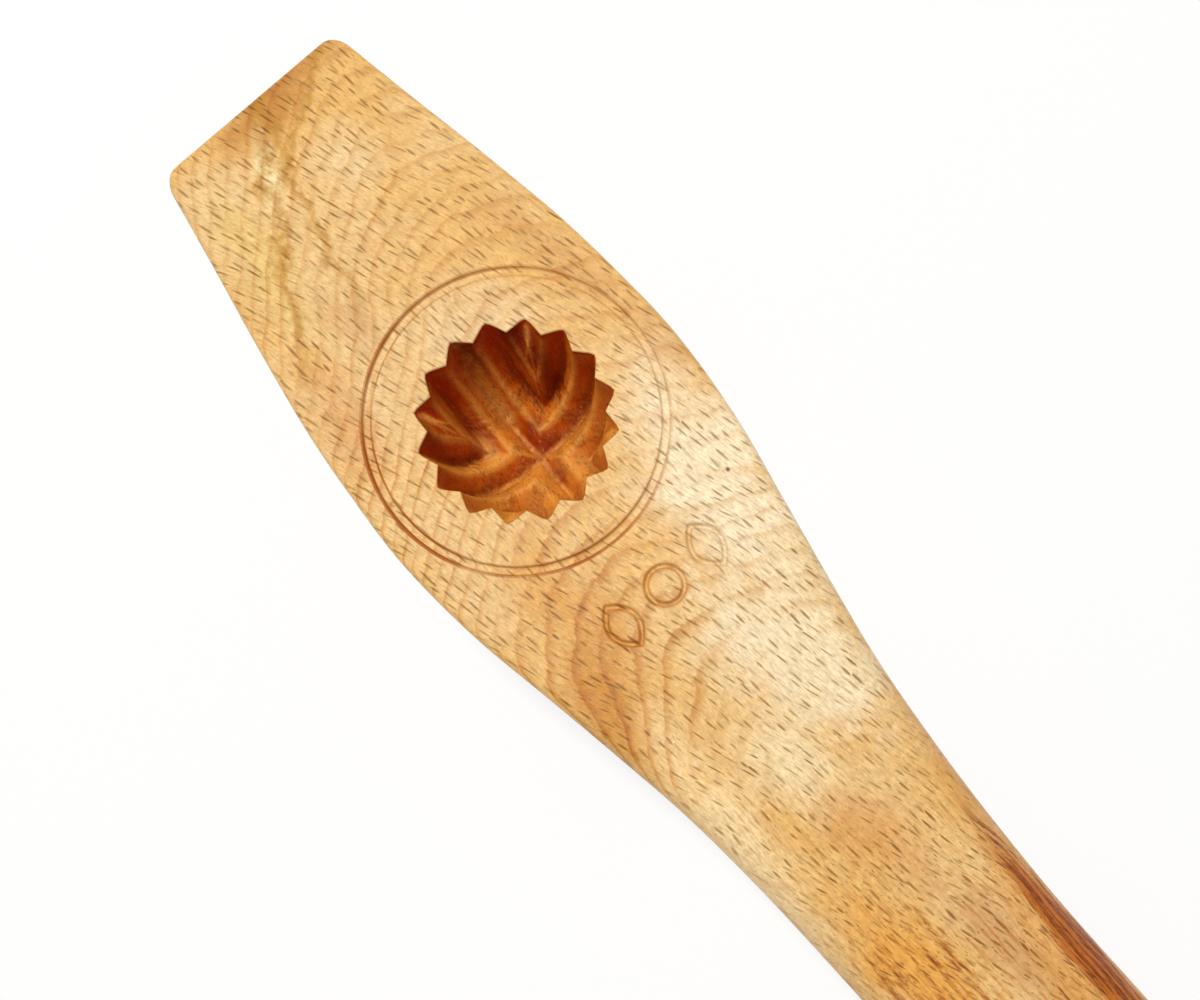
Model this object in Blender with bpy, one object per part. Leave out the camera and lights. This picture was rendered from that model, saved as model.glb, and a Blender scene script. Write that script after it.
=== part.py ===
"""Maamoul mold: one piece of beech, a flat paddle with a fluted cavity carved in its face.

The frame: +X runs from the grip to the blade's tip, +Y across the blade and +Z out of the carved face.
The origin is under the middle of the paddle's box, on its flat back. Lengths are in metres.
"""

import math

import bmesh
import bpy

# Plan lengths of the paddle, from the tip to the end of the grip
TIP_TO_WIDEST = 0.0688
WIDEST_TO_WAIST = 0.1080
WAIST_TO_END = 0.0732

# Plan widths
TIP_WIDTH = 0.0350
BLADE_WIDTH = 0.0560
WAIST_WIDTH = 0.0356
GRIP_WIDTH = 0.0376

# The outline between those widths: share of the stretch's length, share of the change in width
FLARE_SHARES = ((0, 0), (0.22, 0.28), (0.37, 0.48), (0.51, 0.655), (0.65, 0.81), (0.80, 0.92), (1, 1))
NECK_SHARES = (
    (0, 0), (0.15, 0.11), (0.30, 0.375), (0.43, 0.595), (0.56, 0.785), (0.70, 0.895), (0.85, 0.965), (1, 1)
)
GRIP_SHARES = ((0, 0), (0.33, 0.55), (0.66, 1), (1, 0.8))

# Thickness, and how the section changes from a squared blade to an oval grip
BLADE_THICKNESS = 0.0260
GRIP_THICKNESS = 0.0240
BLADE_EDGE_ROUND = 0.0012
GRIP_CORNER_ROUND = 0.0075
WIDEST_TO_ROUNDING = 0.0160
ROUNDING_LENGTH = 0.0800
TIP_CORNER_ROUND = 0.0030
END_ROUND_LENGTH = 0.0130

# The cavity: a bowl with V-shaped grooves, whose ends make the teeth of its rim
WIDEST_TO_CAVITY = 0.0040
CAVITY_TOOTH_RADIUS = 0.0160
CAVITY_NOTCH_RADIUS = 0.0139
CAVITY_DEPTH = 0.0180
RIDGE_HEIGHT = 0.0030
CORNER_NOTCH_DEPTH = 0.0050
TEETH = 16
BOWL_FLATNESS = 4.0
BOWL_STEEPNESS = 0.85

# Where the two ridges of an eighth start, between the grooves on either side of each
RIDGE_START_SHARES = (0.5, 0.31)

# The shallow round groove engraved about the cavity
RING_TO_BLADE_EDGE = 0.0047
RING_GROOVE_WIDTH = 0.0015
RING_GROOVE_DEPTH = 0.0006

# How far a cutter runs past the face that it cuts
OVERRUN = 0.0010

# Points of the cutter nearer to each other than this share of its depth become one
WELD_SHARE = 0.0001

# Edges that turn more than this stay sharp when the paddle is shaded
SHARP_ANGLE = math.radians(30)

# Counts of segments
SECTIONS = 40
CORNER_STEPS = 6
ROUND_END_STEPS = 7
RIDGE_STEPS = 12
RING_STEPS = 96
RING_SECTION_STEPS = 10

BEECH_COLOUR = (0.72, 0.44, 0.19, 1.0)
BEECH_ROUGHNESS = 0.45

LENGTH = TIP_TO_WIDEST + WIDEST_TO_WAIST + WAIST_TO_END
TIP_X = LENGTH / 2
CAVITY_X = TIP_X - TIP_TO_WIDEST + WIDEST_TO_CAVITY


def clear_scene():
    """Removes every object that is already in the file."""
    for thing in list(bpy.data.objects):
        bpy.data.objects.remove(thing)


def beech_material():
    """Oiled beech in one colour."""
    material = bpy.data.materials.new("oiled_beech")
    material.use_nodes = True
    shader = material.node_tree.nodes["Principled BSDF"]
    shader.inputs["Base Color"].default_value = BEECH_COLOUR
    shader.inputs["Roughness"].default_value = BEECH_ROUGHNESS
    shader.inputs["Metallic"].default_value = 0.0
    return material


def mesh_object(name, points, faces):
    """An object from its points and its faces, with all the faces pointing out."""
    mesh = bpy.data.meshes.new(name)
    mesh.from_pydata(points, [], faces)
    shape = bmesh.new()
    shape.from_mesh(mesh)
    bmesh.ops.recalc_face_normals(shape, faces=shape.faces)
    shape.to_mesh(mesh)
    shape.free()
    thing = bpy.data.objects.new(name, mesh)
    bpy.context.scene.collection.objects.link(thing)
    return thing


def smooth_step(share):
    """0 before the stretch, 1 after it, and an even S between."""
    share = min(max(share, 0.0), 1.0)
    return share * share * (3 - 2 * share)


def outline_knots():
    """(distance from the tip, half width) at each knot of the plan outline."""
    stretches = (
        (0.0, TIP_TO_WIDEST, TIP_WIDTH, BLADE_WIDTH, FLARE_SHARES),
        (TIP_TO_WIDEST, WIDEST_TO_WAIST, BLADE_WIDTH, WAIST_WIDTH, NECK_SHARES),
        (TIP_TO_WIDEST + WIDEST_TO_WAIST, WAIST_TO_END, WAIST_WIDTH, GRIP_WIDTH, GRIP_SHARES),
    )
    knots = []
    for start, length, width, next_width, shares in stretches:
        for along, change in shares:
            if knots and along == 0:
                continue
            knots.append((start + length * along, (width + (next_width - width) * change) / 2))
    return knots


def half_width(distance, knots):
    """Half the outline's width at a distance from the tip, on a smooth curve through the knots."""
    count = len(knots)
    here = max(i for i in range(count - 1) if knots[i][0] <= distance or i == 0)

    def slope(i):
        before, after = knots[max(i - 1, 0)], knots[min(i + 1, count - 1)]
        if (knots[i][1] - before[1]) * (after[1] - knots[i][1]) < 0:
            return 0.0
        return (after[1] - before[1]) / (after[0] - before[0])

    (x0, y0), (x1, y1) = knots[here], knots[here + 1]
    span = x1 - x0
    t = (distance - x0) / span
    return (
        y0 * (2 * t**3 - 3 * t**2 + 1)
        + y1 * (3 * t**2 - 2 * t**3)
        + slope(here) * span * (t**3 - 2 * t**2 + t)
        + slope(here + 1) * span * (t**3 - t**2)
    )


def section(x, half, low, high, corner):
    """Points of a rounded rectangle across the paddle at x, once round."""
    corner = min(corner, half, (high - low) / 2)
    corners = (
        (half - corner, high - corner, 0),
        (corner - half, high - corner, 1),
        (corner - half, low + corner, 2),
        (half - corner, low + corner, 3),
    )
    points = []
    for y, z, quarter in corners:
        for step in range(CORNER_STEPS + 1):
            angle = math.pi / 2 * (quarter + step / CORNER_STEPS)
            points.append((x, y + corner * math.cos(angle), z + corner * math.sin(angle)))
    return points


def section_at(distance, knots, side_inset=0.0, face_inset=0.0, shrink=1.0):
    """The paddle's section at a distance from the tip, drawn in where an end is rounded."""
    change = smooth_step((distance - TIP_TO_WIDEST - WIDEST_TO_ROUNDING) / ROUNDING_LENGTH)
    thickness = BLADE_THICKNESS + (GRIP_THICKNESS - BLADE_THICKNESS) * change
    corner = BLADE_EDGE_ROUND + (GRIP_CORNER_ROUND - BLADE_EDGE_ROUND) * change
    half = (half_width(distance, knots) - side_inset) * shrink
    middle = thickness / 2
    half_thick = (middle - face_inset) * shrink
    return section(TIP_X - distance, half, middle - half_thick, middle + half_thick, corner * shrink)


def paddle_blank():
    """The paddle before it is carved: sections joined along its length, rounded at both ends."""
    knots = outline_knots()
    loops = []
    for step in range(ROUND_END_STEPS):
        angle = math.pi / 2 * (1 - step / ROUND_END_STEPS)
        distance = TIP_CORNER_ROUND * (1 - math.sin(angle))
        side_inset = TIP_CORNER_ROUND * (1 - math.cos(angle))
        lean = max(1 - distance / BLADE_EDGE_ROUND, 0.0)
        face_inset = BLADE_EDGE_ROUND * (1 - math.sqrt(1 - lean * lean))
        loops.append(section_at(distance, knots, side_inset, face_inset))
    body_length = LENGTH - END_ROUND_LENGTH - TIP_CORNER_ROUND
    for step in range(SECTIONS + 1):
        loops.append(section_at(TIP_CORNER_ROUND + body_length * step / SECTIONS, knots))
    for step in range(1, ROUND_END_STEPS):
        angle = math.pi / 2 * step / ROUND_END_STEPS
        distance = LENGTH - END_ROUND_LENGTH * (1 - math.sin(angle))
        loops.append(section_at(distance, knots, shrink=math.cos(angle)))
    around = len(loops[0])
    points = [point for loop in loops for point in loop]
    faces = [tuple(range(around))]
    for row in range(len(loops) - 1):
        for i in range(around):
            after = (i + 1) % around
            a, b = row * around + i, row * around + after
            faces.append((a, b, b + around, a + around))
    pole = len(points)
    points.append((TIP_X - LENGTH, 0.0, GRIP_THICKNESS / 2))
    last = (len(loops) - 1) * around
    for i in range(around):
        faces.append((last + i, last + (i + 1) % around, pole))
    return mesh_object("mold_paddle", points, faces)


def bowl_depth(radius, rim, depth):
    """Depth under the face at a radius, in a bowl that is flat at its floor and steep at its rim."""
    share = min(radius / rim, 1.0)
    return depth * (1 - share**BOWL_FLATNESS) ** BOWL_STEEPNESS


def crease_lines():
    """(start offset, rim radius, rim angle, floor depth) of each groove and ridge in one eighth.

    Each runs nearly parallel to the paddle's axis, at its offset from it, from the eighth's diagonal
    to the rim. Grooves end at the teeth of the rim and ridges at the notches between them.
    """
    step = math.pi / TEETH
    lines = []
    for i in range(TEETH // 4 + 1):
        if i % 2 == 0:
            start, rim, floor = groove_offset(i), CAVITY_TOOTH_RADIUS, CAVITY_DEPTH
        else:
            before, after = groove_offset(i - 1), groove_offset(i + 1)
            start = before + (after - before) * RIDGE_START_SHARES[i // 2]
            rim, floor = CAVITY_NOTCH_RADIUS, CAVITY_DEPTH - RIDGE_HEIGHT
        lines.append((start, rim, i * step, floor))
    return lines


def groove_offset(i):
    """How far from the paddle's axis the groove runs that ends at the rim's i-th half tooth."""
    return CAVITY_TOOTH_RADIUS * math.sin(i * math.pi / TEETH)


def eighth_rows():
    """Rows of points (along, across, depth) in one eighth of the bowl, from its diagonal to its rim.

    Each row but the last follows a groove or a ridge. The last one climbs the diagonal, from the
    inner ridge's corner up to the corner tooth, over the short notch cut there.
    """
    lines = crease_lines()
    rows = []
    for start, rim, angle, floor in lines[:-1]:
        row = []
        for step in range(RIDGE_STEPS + 1):
            share = math.sin(math.pi / 2 * step / RIDGE_STEPS)
            along = start + (rim * math.cos(angle) - start) * share
            across = start + (rim * math.sin(angle) - start) * share
            row.append((along, across, bowl_depth(math.hypot(along, across), rim, floor)))
        rows.append(row)
    start, ridge_rim, _, ridge_floor = lines[-2]
    _, tooth_rim, angle, _ = lines[-1]
    row = []
    for step in range(RIDGE_STEPS + 1):
        share = math.sin(math.pi / 2 * step / RIDGE_STEPS)
        along = start + (tooth_rim * math.cos(angle) - start) * share
        radius = along * math.sqrt(2)
        land = bowl_depth(radius, ridge_rim, ridge_floor)
        notch = bowl_depth(radius, tooth_rim, CORNER_NOTCH_DEPTH)
        row.append((along, along, max(land, notch)))
    rows.append(row)
    return rows


def turned(along, across, turn, mirrored):
    """A point of the first eighth, moved to one of the eight."""
    if mirrored:
        along, across = across, along
    for _ in range(turn):
        along, across = -across, along
    return along, across


def cavity_cutter():
    """What the cavity removes: the bowl's surface, closed by a wall and a lid above the face."""
    face_z = BLADE_THICKNESS
    rows = eighth_rows()
    shape = bmesh.new()
    for turn in range(4):
        for mirrored in (False, True):
            grid = []
            for row in rows:
                grid.append([])
                for along, across, depth in row:
                    x, y = turned(along, across, turn, mirrored)
                    grid[-1].append(shape.verts.new((CAVITY_X + x, y, face_z - depth)))
            for low, high in zip(grid, grid[1:]):
                for i in range(RIDGE_STEPS):
                    shape.faces.new((low[i], low[i + 1], high[i + 1], high[i]))
                top = [shape.verts.new((v.co.x, v.co.y, face_z + OVERRUN)) for v in (low[-1], high[-1])]
                shape.faces.new((low[-1], high[-1], top[1], top[0]))
                middle = shape.verts.new((CAVITY_X, 0.0, face_z + OVERRUN))
                shape.faces.new((top[0], top[1], middle))
    bmesh.ops.remove_doubles(shape, verts=shape.verts, dist=CAVITY_DEPTH * WELD_SHARE)
    bmesh.ops.recalc_face_normals(shape, faces=shape.faces)
    mesh = bpy.data.meshes.new("cavity_cutter")
    shape.to_mesh(mesh)
    shape.free()
    cutter = bpy.data.objects.new("cavity_cutter", mesh)
    bpy.context.scene.collection.objects.link(cutter)
    return cutter


def ring_cutter():
    """What the engraved ring removes: a round bar bent in a circle, sunk a little into the face."""
    half, depth = RING_GROOVE_WIDTH / 2, RING_GROOVE_DEPTH
    bar = (half * half + depth * depth) / (2 * depth)
    bpy.ops.mesh.primitive_torus_add(
        major_segments=RING_STEPS,
        minor_segments=RING_SECTION_STEPS,
        major_radius=BLADE_WIDTH / 2 - RING_TO_BLADE_EDGE,
        minor_radius=bar,
        location=(CAVITY_X, 0.0, BLADE_THICKNESS + bar - depth),
    )
    cutter = bpy.context.object
    cutter.name = "ring_cutter"
    return cutter


def cut(body, cutter):
    """Takes the cutter's shape out of the body."""
    carve = body.modifiers.new(cutter.name, "BOOLEAN")
    carve.operation = "DIFFERENCE"
    carve.object = cutter
    with bpy.context.temp_override(object=body, active_object=body):
        bpy.ops.object.modifier_apply(modifier=carve.name)
    bpy.data.objects.remove(cutter)


def main():
    """Builds the carved paddle."""
    clear_scene()
    paddle = paddle_blank()
    cut(paddle, cavity_cutter())
    cut(paddle, ring_cutter())
    paddle.data.materials.append(beech_material())
    paddle.data.shade_smooth()
    paddle.data.set_sharp_from_angle(angle=SHARP_ANGLE)


main()
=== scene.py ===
"""Looks of a maamoul mold: one paddle of oiled beech, with a fluted cavity carved in its face.

The paddle is meshed again in fine detail over the CAD solid, in the same frame: +X runs from the grip to
the blade's tip, +Y across the blade and +Z out of the carved face, which looks up from the table.
"""

import logging
import math
from collections.abc import Sequence
from dataclasses import dataclass, field
from enum import Enum

import bmesh
import bpy
import numpy as np
from mathutils import Matrix, Vector, noise


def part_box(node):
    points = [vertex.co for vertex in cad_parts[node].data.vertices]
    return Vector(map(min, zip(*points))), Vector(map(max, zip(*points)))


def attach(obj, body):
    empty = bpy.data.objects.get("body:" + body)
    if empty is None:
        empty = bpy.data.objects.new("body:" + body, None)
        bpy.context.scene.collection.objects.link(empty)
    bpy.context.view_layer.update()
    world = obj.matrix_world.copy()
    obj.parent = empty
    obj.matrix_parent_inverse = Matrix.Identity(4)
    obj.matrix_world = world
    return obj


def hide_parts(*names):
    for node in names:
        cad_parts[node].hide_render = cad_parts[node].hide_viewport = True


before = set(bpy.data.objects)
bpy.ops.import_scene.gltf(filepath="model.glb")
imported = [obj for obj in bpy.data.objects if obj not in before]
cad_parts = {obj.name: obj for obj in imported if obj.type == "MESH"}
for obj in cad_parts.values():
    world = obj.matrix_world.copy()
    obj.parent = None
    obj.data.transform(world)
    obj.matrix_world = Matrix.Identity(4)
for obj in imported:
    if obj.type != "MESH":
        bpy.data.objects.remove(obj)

LOG = logging.getLogger("maamoul_mold")

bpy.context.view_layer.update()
NODE = "mold_paddle"
BODY = "root"

MM = 0.001

# Points nearer to each other than this are one point where two grids of the mesh meet
WELD = 0.002 * MM

# The half height in millimetres of a spot that goes right through the board
THROUGH = 1e4

# Makes a node's range rise in an even S
SMOOTH = {"interpolation_type": "SMOOTHSTEP"}

Array = np.ndarray
Thing = bpy.types.Object
Node = bpy.types.Node
Colour = tuple[float, float, float, float]
Feed = bpy.types.NodeSocket | Node | float | Sequence[float]
Rows = tuple[tuple[float, ...], ...]
WHITE = (1.0, 1.0, 1.0, 1.0)


def linear(hex_colour: str) -> Colour:
    """Turns an sRGB colour into the linear one that a shader takes.

    Args:
        hex_colour: six hex digits after a hash sign.

    Returns:
        Linear red, green, blue and an alpha of 1.
    """
    shares = [int(hex_colour[i : i + 2], 16) / 255 for i in (1, 3, 5)]
    red, green, blue = (s / 12.92 if s <= 0.04045 else ((s + 0.055) / 1.055) ** 2.4 for s in shares)
    return (red, green, blue, 1.0)


def smooth_step(share: Array | float) -> Array | float:
    """0 before a stretch, 1 after it, and an even S between."""
    share = np.clip(share, 0.0, 1.0)
    return share * share * (3 - 2 * share)


@dataclass(frozen=True)
class ColourPatch:
    """A soft patch of another tone, right through the board, in millimetres and degrees."""

    x: float
    y: float
    half_length: float
    half_width: float
    turn: float
    tone: str
    strength: float


@dataclass(frozen=True)
class Nodes:
    """The shader nodes of one material or world, which measure in millimetres."""

    tree: bpy.types.NodeTree

    def feed(self, node: Node, key: str | int, value: Feed | None) -> None:
        """Sets an input's value, or links it to a socket or to a node's first output in use."""
        if isinstance(value, Node):
            value = next(output for output in value.outputs if output.enabled)
        if isinstance(value, bpy.types.NodeSocket):
            self.tree.links.new(value, node.inputs[key])
        elif value is not None:
            node.inputs[key].default_value = value

    def add(self, kind: str, *feeds: Feed | None, **names: Feed | str) -> Node:
        """Adds one node with its settings, values and links.

        Args:
            kind: the node's type without its leading ShaderNode.
            *feeds: what its inputs get, in order. None leaves an input as it is.
            **names: what the input of that name gets, or a property's value if the name is lower case.

        Returns:
            The node.
        """
        node = self.tree.nodes.new("ShaderNode" + kind)
        inputs = list(enumerate(feeds))
        for name, value in names.items():
            if name[0].isupper():
                inputs.append((name, value))
            else:
                setattr(node, name, value)
        for key, value in inputs:
            self.feed(node, key, value)
        return node

    def place(self) -> Node:
        """The shaded place in the frame."""
        metres = self.add("TexCoord").outputs["Object"]
        return self.add("VectorMath", metres, Scale=1 / MM, operation="SCALE")

    def product(self, *factors: Feed) -> Feed:
        """Multiplies some factors."""
        result = factors[0]
        for factor in factors[1:]:
            result = self.add("Math", result, factor, operation="MULTIPLY")
        return result

    def total(self, start: Feed, *terms: tuple[Feed, float]) -> Feed:
        """Adds terms, each times its gain, to a start value."""
        for term, gain in terms:
            start = self.add("Math", term, gain, start, operation="MULTIPLY_ADD")
        return start

    def stain(self, colour: Feed, tone: Feed | str, *amounts: Feed, blend: str = "MIX") -> Node:
        """Lays a tone on a colour, as strongly as the product of some amounts."""
        tone = linear(tone) if isinstance(tone, str) else tone
        feeds = (self.product(*amounts), *[None] * 5, colour, tone)
        return self.add("Mix", *feeds, data_type="RGBA", blend_type=blend)

    def pattern(
        self, place: Feed, scale: float, detail: float, roughness: float = 0.5,
        stretch: Sequence[float] = (), spread: Sequence[float] = (), **settings: str,
    ) -> Node:
        """Adds a noise pattern.

        Args:
            place: where it is looked up.
            scale: its turns a millimetre.
            detail: how many finer layers it has.
            roughness: how strong each layer is against the one before it.
            stretch: what the place is multiplied by first, along each axis.
            spread: the two values that a range runs between, and what they become if not 0 and 1.
            **settings: the range's properties.

        Returns:
            The noise, or the range.
        """
        if stretch:
            place = self.add("VectorMath", place, stretch, operation="MULTIPLY")
        cloud = self.add("TexNoise", Vector=place, Scale=scale, Detail=detail, Roughness=roughness)
        return self.add("MapRange", cloud, *spread, **settings) if spread else cloud

    def band(self, value: Feed, middle: Feed, reach: float, core: float, most: float = 1.0) -> Feed:
        """Adds a soft band: `most` where a value is within `core` of its middle, and 0 beyond `reach`."""
        gap = self.add("Math", value, middle, operation="SUBTRACT")
        gap = self.add("Math", gap, operation="ABSOLUTE")
        return self.add("MapRange", gap, reach, core, 0.0, most, **SMOOTH)

    def from_spot(self, place: Feed, x: float, y: float, *size_and_turn: float) -> Node:
        """How far a place is from a spot, where 1 is an ellipse's edge: half length, half width, turn."""
        half_length, half_width, turn = size_and_turn
        turned = (0.0, 0.0, math.radians(turn))
        size = (half_length, half_width, THROUGH)
        spot = self.add("Mapping", place, (x, y, 0.0), turned, size, vector_type="TEXTURE")
        return self.add("VectorMath", spot, operation="LENGTH")

    def lay_patches(self, colour: Feed, place: Feed, tone_and_light_patches: Sequence[ColourPatch], ragged_scale: float) -> Feed:
        """Lays patches on a colour, each over the one before it.

        Args:
            colour: the colour under them.
            place: the shaded place.
            tone_and_light_patches: the patches.
            ragged_scale: how fine their edges are ragged, in turns a millimetre.

        Returns:
            The colour with the blotches.
        """
        ragged = self.pattern(place, ragged_scale, 4.0, 0.6, spread=(0.25, 0.75, -0.4, 0.4))
        for spot in tone_and_light_patches:
            far = self.from_spot(place, spot.x, spot.y, spot.half_length, spot.half_width, spot.turn)
            far = self.total(far, (ragged, 1.0))
            amount = self.add("MapRange", far, 1.35, 0.25, 0.0, spot.strength, **SMOOTH)
            colour = self.stain(colour, spot.tone, amount)
        return colour

    def finish(
        self, colour: Feed, gloss: Feed, ior: float, specular: float, height: Feed, depth: float
    ) -> None:
        """Feeds a wood's shader.

        Args:
            colour: its colour.
            gloss: its roughness.
            ior: its index of refraction.
            specular: how strongly it mirrors against clear lacquer, where 0.5 is plain lacquer.
            height: its relief, in shares of the depth.
            depth: the relief's depth in metres.
        """
        bump = self.add("Bump", Height=height, Distance=depth, Strength=1.0)
        keys = ("Base Color", "Roughness", "IOR", "Specular IOR Level", "Normal")
        for key, value in zip(keys, (colour, gloss, ior, specular, bump)):
            self.feed(self.tree.nodes["Principled BSDF"], key, value)


def new_material(name: str) -> tuple[bpy.types.Material, Nodes]:
    """Makes a material, and gives it with its nodes."""
    material = bpy.data.materials.new(name)
    material.use_nodes = True
    return material, Nodes(material.node_tree)


class Region(Enum):
    """The part of the paddle that a face belongs to, in the order of the material slots."""

    SANDED = 0
    CARVED = 1


@dataclass(frozen=True)
class Blank:
    """The sawn and sanded board: its outline in plan and its section, from the tip to the grip's end."""

    low: Vector
    high: Vector
    tip_to_widest: float = 68.8 * MM
    widest_to_waist: float = 108.0 * MM
    tip_width: float = 35.0 * MM
    waist_width: float = 35.6 * MM
    grip_width: float = 37.6 * MM
    grip_thickness: float = 24.0 * MM
    blade_edge_round: float = 1.2 * MM
    grip_corner_round: float = 7.5 * MM
    widest_to_rounding: float = 16.0 * MM
    rounding_length: float = 80.0 * MM
    tip_corner_round: float = 3.0 * MM
    end_round_length: float = 13.0 * MM
    flare_shares: tuple = (
        (0, 0), (0.22, 0.28), (0.37, 0.48), (0.51, 0.655), (0.65, 0.81), (0.80, 0.92), (1, 1)
    )
    neck_shares: tuple = (
        (0, 0), (0.15, 0.11), (0.30, 0.375), (0.43, 0.595),
        (0.56, 0.785), (0.70, 0.895), (0.85, 0.965), (1, 1),
    )
    grip_shares: tuple = ((0, 0), (0.33, 0.55), (0.66, 1), (1, 0.8))

    @property
    def length(self) -> float:
        """The whole length."""
        return self.high.x - self.low.x

    @property
    def width(self) -> float:
        """The blade's greatest width."""
        return self.high.y - self.low.y

    @property
    def face(self) -> float:
        """The height of the carved face."""
        return self.high.z

    def knots(self) -> Array:
        """The outline's knots.

        Returns:
            Rows of distance from the tip, half width and slope.
        """
        widest, waist = self.tip_to_widest, self.tip_to_widest + self.widest_to_waist
        stretches = (
            (0.0, widest, self.tip_width, self.width, self.flare_shares),
            (widest, waist, self.width, self.waist_width, self.neck_shares),
            (waist, self.length, self.waist_width, self.grip_width, self.grip_shares),
        )
        places = []
        for start, end, width, next_width, shares in stretches:
            for along, change in shares:
                if not places or along > 0:
                    half = (width + (next_width - width) * change) / 2
                    places.append((start + (end - start) * along, half))
        rows = []
        for i, (x, y) in enumerate(places):
            before, after = places[max(i - 1, 0)], places[min(i + 1, len(places) - 1)]
            turns = (y - before[1]) * (after[1] - y) < 0
            rows.append((x, y, 0.0 if turns else (after[1] - before[1]) / (after[0] - before[0])))
        return np.array(rows)

    def half_width(self, distance: Array) -> Array:
        """Half the outline's width at each distance from the tip."""
        knots = self.knots()
        here = np.clip(np.searchsorted(knots[:, 0], distance, side="right") - 1, 0, len(knots) - 2)
        (x0, y0, m0), (x1, y1, m1) = knots[here].T, knots[here + 1].T
        t = (distance - x0) / (x1 - x0)
        span = x1 - x0
        return (
            y0 * (2 * t**3 - 3 * t**2 + 1)
            + y1 * (3 * t**2 - 2 * t**3)
            + m0 * span * (t**3 - 2 * t**2 + t)
            + m1 * span * (t**3 - t**2)
        )

    def grip_share(self, distance: Array) -> Array:
        """0 on the squared blade and 1 on the rounded grip."""
        return smooth_step((distance - self.tip_to_widest - self.widest_to_rounding) / self.rounding_length)

    def section(self, distance: Array) -> tuple[Array, Array, Array, Array]:
        """The section at each distance from the tip, drawn in where an end is rounded.

        Args:
            distance: distances from the tip.

        Returns:
            Half width, bottom, top and corner radius at each distance.
        """
        change = self.grip_share(distance)
        thickness = (self.high.z - self.low.z) * (1 - change) + self.grip_thickness * change
        corner = self.blade_edge_round * (1 - change) + self.grip_corner_round * change
        half = self.half_width(distance)
        lean = np.clip(1 - distance / self.tip_corner_round, 0.0, 1.0)
        half = half - self.tip_corner_round * (1 - np.sqrt(1 - lean**2))
        edge = np.clip(1 - distance / self.blade_edge_round, 0.0, 1.0)
        inset = self.blade_edge_round * (1 - np.sqrt(1 - edge**2))
        close = np.clip((distance - self.length + self.end_round_length) / self.end_round_length, 0.0, 1.0)
        shrink = np.sqrt(1 - close**2)
        middle = self.low.z + thickness / 2
        half_thick = (thickness / 2 - inset) * shrink
        half, corner = half * shrink, corner * shrink
        corner = np.minimum(corner, np.minimum(half, half_thick))
        return half, middle - half_thick, middle + half_thick, corner


@dataclass(frozen=True)
class Cavity:
    """The carved bowl: V grooves parallel to the paddle's two axes, whose ends are the rim's teeth."""

    tooth_radius: float = 16.2 * MM
    notch_radius: float = 13.9 * MM
    depth: float = 18.0 * MM
    ridge_height: float = 3.0 * MM
    corner_notch_depth: float = 5.0 * MM
    teeth: int = 16
    flatness: float = 4.0
    steepness: float = 0.85
    ridge_start_shares: tuple[float, float] = (0.5, 0.31)
    rim_round: float = 0.28 * MM
    tooth_blunting: float = 0.26 * MM
    blunting_share: float = 0.16
    half_tooth_steps: int = 12
    climb_steps: int = 84

    @property
    def half_tooth(self) -> float:
        """The angle from a tooth to the next notch."""
        return math.pi / self.teeth

    def bowl_depth(self, radius: Array, rim: float, floor: float) -> Array:
        """Depth under the face of a bowl that is flat at its floor and steep at its rim."""
        share = np.clip(radius / rim, 0.0, 1.0)
        return floor * (1 - share**self.flatness) ** self.steepness

    def groove_offset(self, i: int) -> float:
        """How far from the axis the groove runs that ends at the rim's i-th half tooth."""
        return self.tooth_radius * math.sin(i * self.half_tooth)

    def creases(self) -> list[Array]:
        """The grooves and ridges of one eighth of the bowl.

        Returns:
            One array a crease, from the eighth's diagonal to the rim: rows of along, across and depth.
        """
        climb = np.sin(np.linspace(0, math.pi / 2, self.climb_steps + 1))
        lines, ends = [], []
        for i in range(self.teeth // 4 + 1):
            if i % 2 == 0:
                start, rim, floor = self.groove_offset(i), self.tooth_radius, self.depth
            else:
                before, after = self.groove_offset(i - 1), self.groove_offset(i + 1)
                start = before + (after - before) * self.ridge_start_shares[i // 2]
                rim, floor = self.notch_radius, self.depth - self.ridge_height
            ends.append((start, rim, floor))
            angle = i * self.half_tooth
            along = start + (rim * math.cos(angle) - start) * climb
            across = start + (rim * math.sin(angle) - start) * climb
            drop = self.bowl_depth(np.hypot(along, across), rim, floor)
            lines.append(np.column_stack((along, across, drop)))
        start, ridge_rim, ridge_floor = ends[-2]
        along = start + (self.tooth_radius * math.cos(math.pi / 4) - start) * climb
        radius = along * math.sqrt(2)
        land = self.bowl_depth(radius, ridge_rim, ridge_floor)
        notch = self.bowl_depth(radius, self.tooth_radius, self.corner_notch_depth)
        lines[-1] = np.column_stack((along, along, np.maximum(land, notch)))
        return lines

    def blunting(self, share: Array) -> Array:
        """How far the rim is drawn in to round a tooth, by the share of the way to the next notch."""
        return self.tooth_blunting * np.exp(-((share / self.blunting_share) ** 2))

    def rim(self) -> Array:
        """The rim's outline in plan, once round.

        Returns:
            Rows of along and across, and the first row again at the end.
        """
        shares = np.arange(self.half_tooth_steps) / self.half_tooth_steps
        points = []
        for i in range(2 * self.teeth):
            ends = []
            for k in (i, i + 1):
                radius = self.tooth_radius if k % 2 == 0 else self.notch_radius
                angle = k * self.half_tooth
                ends.append(radius * np.array((math.cos(angle), math.sin(angle))))
            from_tooth = shares if i % 2 == 0 else 1 - shares
            line = ends[0] + (ends[1] - ends[0]) * shares[:, None]
            length = np.hypot(*line.T)
            points.append(line * (1 - self.blunting(from_tooth) / length)[:, None])
        rim = np.concatenate(points)
        return np.vstack((rim, rim[:1]))


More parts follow.
